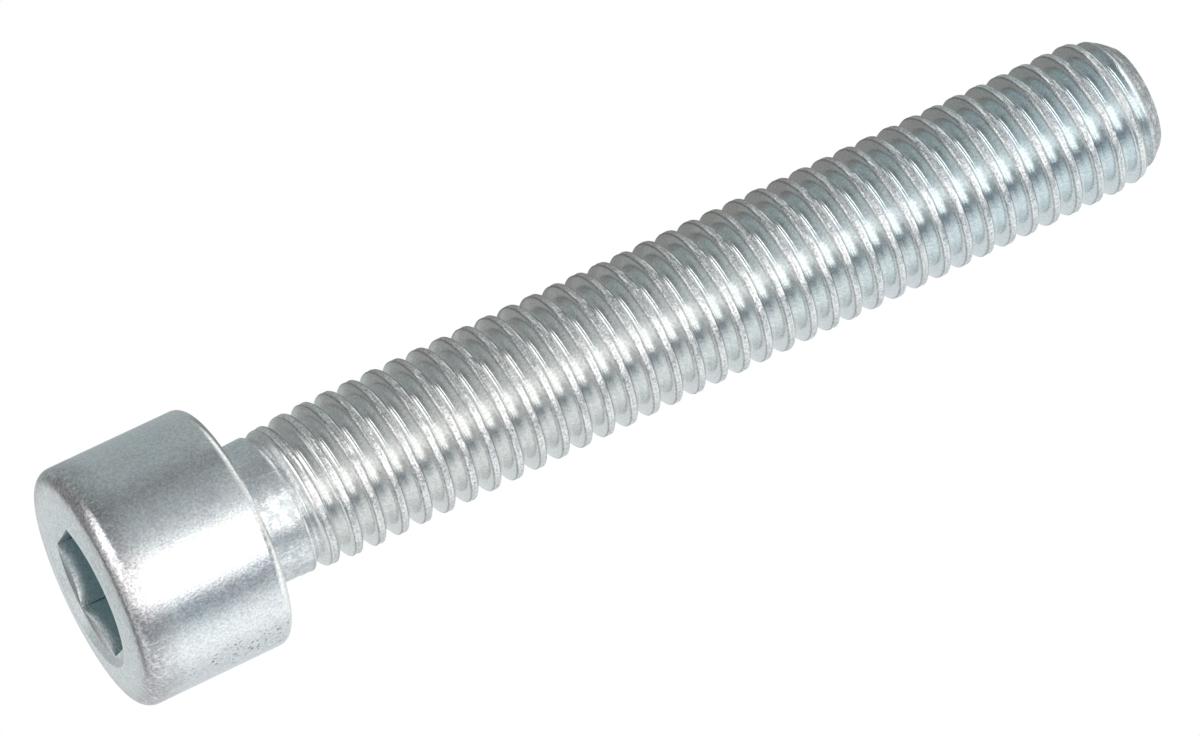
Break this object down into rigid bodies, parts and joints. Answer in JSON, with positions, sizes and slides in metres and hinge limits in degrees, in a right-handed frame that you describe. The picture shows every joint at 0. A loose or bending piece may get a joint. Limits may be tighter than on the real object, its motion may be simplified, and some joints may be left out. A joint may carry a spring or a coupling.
{
  "type": "socket head cap screw",
  "caption": "Cylindrical head with a hexagon socket on a threaded shank with a short plain neck and a bevelled tip, for clamping parts together with a hexagon key.",
  "frame": {"origin": "centre of the head's face, at the height of the lip round the socket, which the screw stands on", "axes": "+Z along the screw's axis from the head to the tip, two corners of the hexagon socket toward +Y and -Y"},
  "size_m": [0.0122, 0.0122, 0.0579],
  "materials": {
    "zinc_plated_steel": "bright zinc plating, slightly bluish, satin with fine wear"
  },
  "bodies": {
    "root": {"socket_screw": "zinc_plated_steel"}
  },
  "joints": []
}
